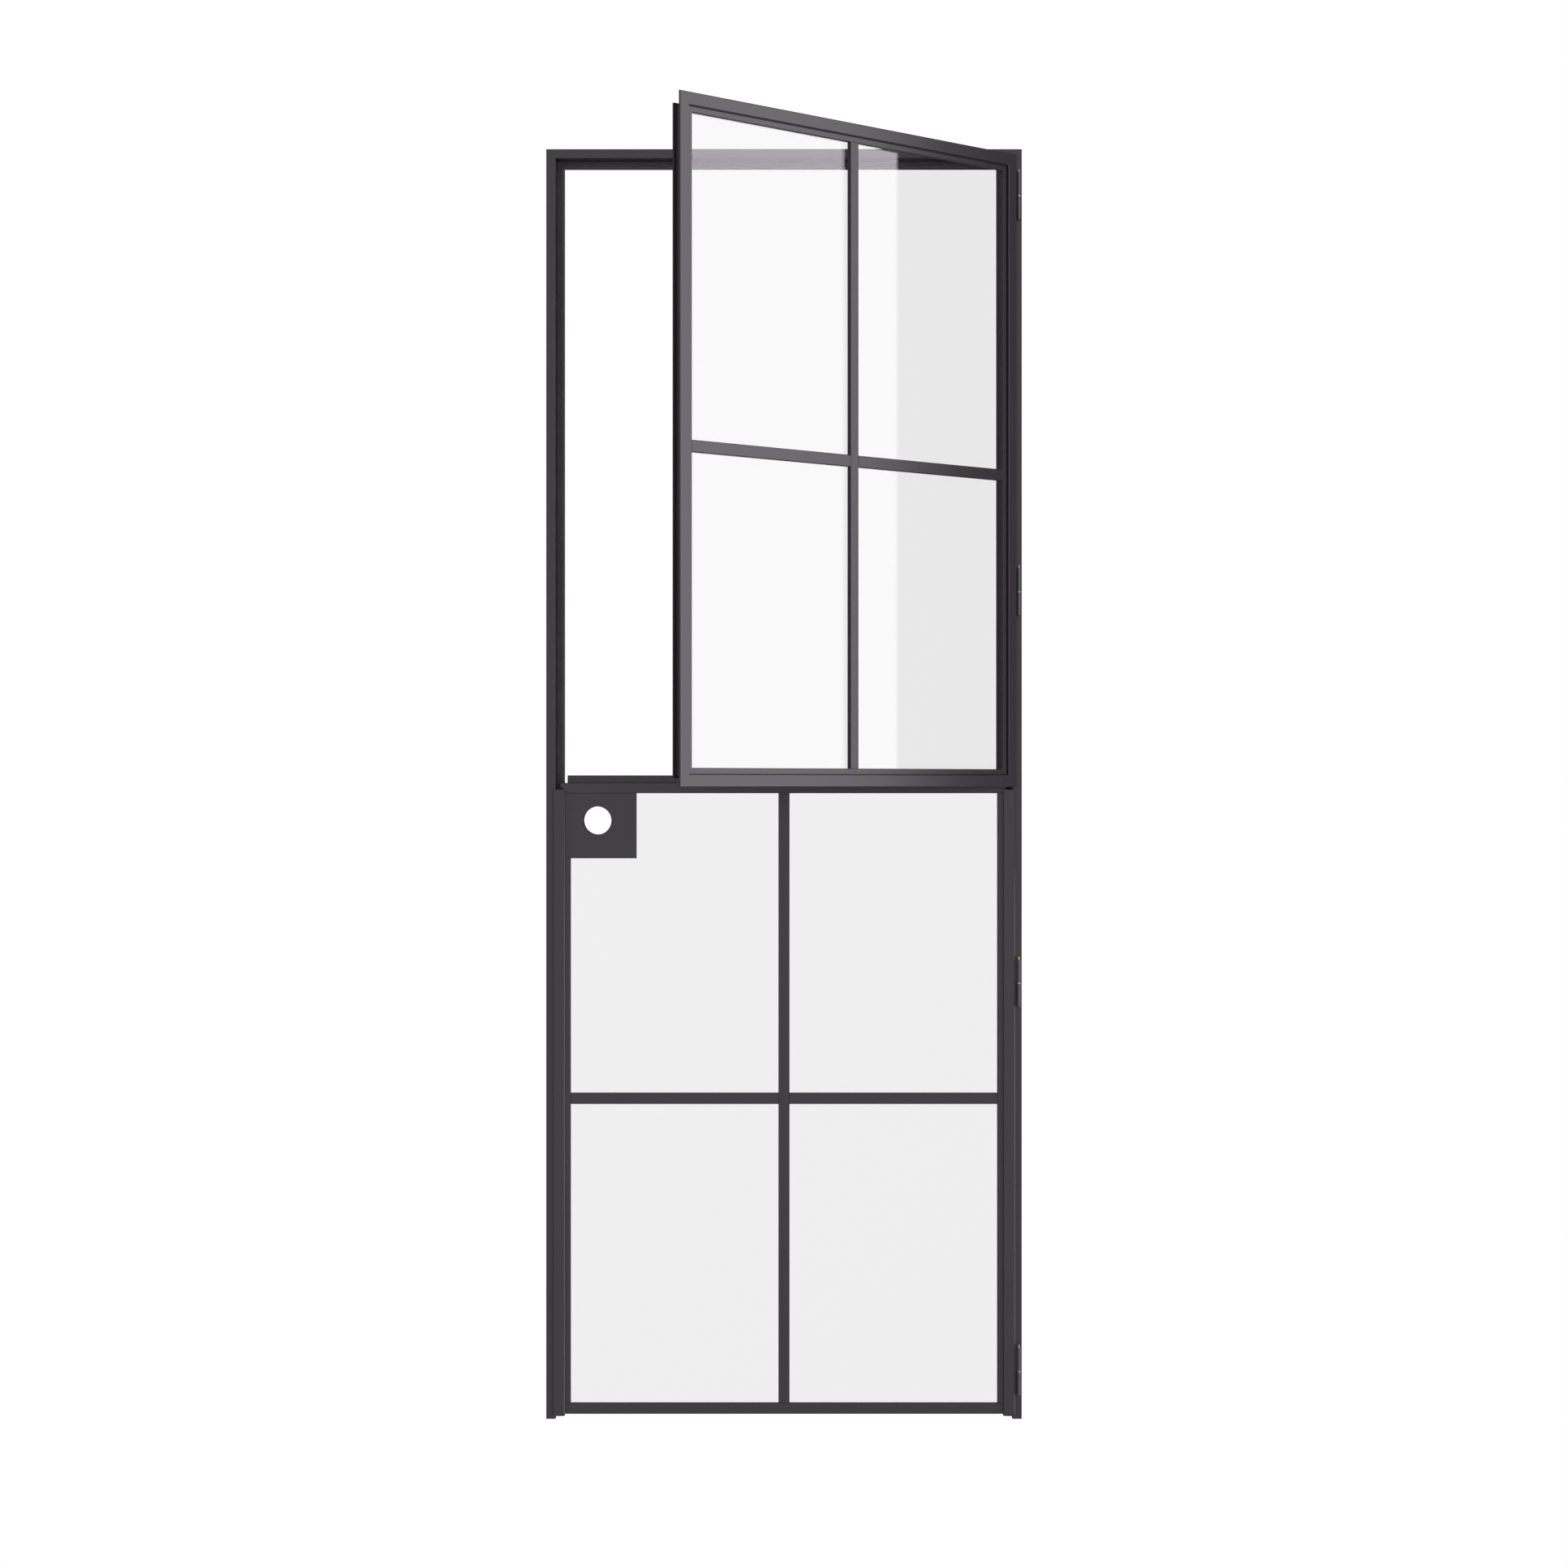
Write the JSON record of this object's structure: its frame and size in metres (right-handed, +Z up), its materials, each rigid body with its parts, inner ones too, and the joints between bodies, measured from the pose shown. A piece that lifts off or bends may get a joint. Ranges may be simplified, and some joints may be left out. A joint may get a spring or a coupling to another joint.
{
  "type": "glazed steel dutch door in its frame",
  "caption": "Narrow steel frame with a closed lower leaf and an open upper leaf, glazed with slim bars, hung on barrel hinges.",
  "frame": {"origin": "on the flat outer face of the hinge jamb, halfway through its depth, at floor level", "axes": "+X along the door from the latch side to the hinge side, +Y from the side the leaves open to towards the far side, +Z up"},
  "size_m": [0.914, 0.6751, 2.44],
  "materials": {
    "charcoal_paint": "satin charcoal powder coat",
    "black_seal": "matt extruded rubber",
    "brass": "dull turned brass",
    "hinge_steel": "plain ground steel",
    "clear_glass": "clear float glass"
  },
  "bodies": {
    "frame": {"latch_jamb": "charcoal_paint", "hinge_jamb": "charcoal_paint", "head": "charcoal_paint", "latch_side_seal": "black_seal", "hinge_side_seal": "black_seal", "head_seal": "black_seal", "upper_head_frame_knuckle": "charcoal_paint", "upper_meeting_frame_knuckle": "charcoal_paint", "lower_meeting_frame_knuckle": "charcoal_paint", "lower_floor_frame_knuckle": "charcoal_paint", "hinge_washers": "brass", "hinge_pins": "hinge_steel"},
    "lower_leaf": {"lower_latch_stile": "charcoal_paint", "lower_hinge_stile": "charcoal_paint", "lower_top_rail": "charcoal_paint", "lower_bottom_rail": "charcoal_paint", "meeting_stop": "charcoal_paint", "lock_case": "charcoal_paint", "lower_glass": "clear_glass", "lower_vertical_bar": "charcoal_paint", "lower_cross_bars": "charcoal_paint", "lower_latch_bead": "charcoal_paint", "lower_hinge_bead": "charcoal_paint", "lower_top_bead": "charcoal_paint", "lower_bottom_bead": "charcoal_paint", "lock_case_bead": "charcoal_paint", "lower_meeting_leaf_knuckle": "charcoal_paint", "lower_floor_leaf_knuckle": "charcoal_paint", "lower_grease_caps": "brass"},
    "upper_leaf": {"upper_latch_stile": "charcoal_paint", "upper_hinge_stile": "charcoal_paint", "upper_top_rail": "charcoal_paint", "upper_bottom_rail": "charcoal_paint", "upper_glass": "clear_glass", "upper_vertical_bar": "charcoal_paint", "upper_cross_bars": "charcoal_paint", "upper_latch_bead": "charcoal_paint", "upper_hinge_bead": "charcoal_paint", "upper_top_bead": "charcoal_paint", "upper_bottom_bead": "charcoal_paint", "upper_head_leaf_knuckle": "charcoal_paint", "upper_meeting_leaf_knuckle": "charcoal_paint", "upper_grease_caps": "brass"}
  },
  "joints": [
    {"name": "lower_leaf_hinge", "type": "hinge", "parent": "frame", "child": "lower_leaf", "pos_m": [-0.0062, -0.0245, 0], "axis": [0, 0, 1], "range_deg": [0, 90]},
    {"name": "upper_leaf_hinge", "type": "hinge", "parent": "lower_leaf", "child": "upper_leaf", "pos_m": [-0.0062, -0.0245, 0], "axis": [0, 0, 1], "range_deg": [-45, 45]}
  ]
}
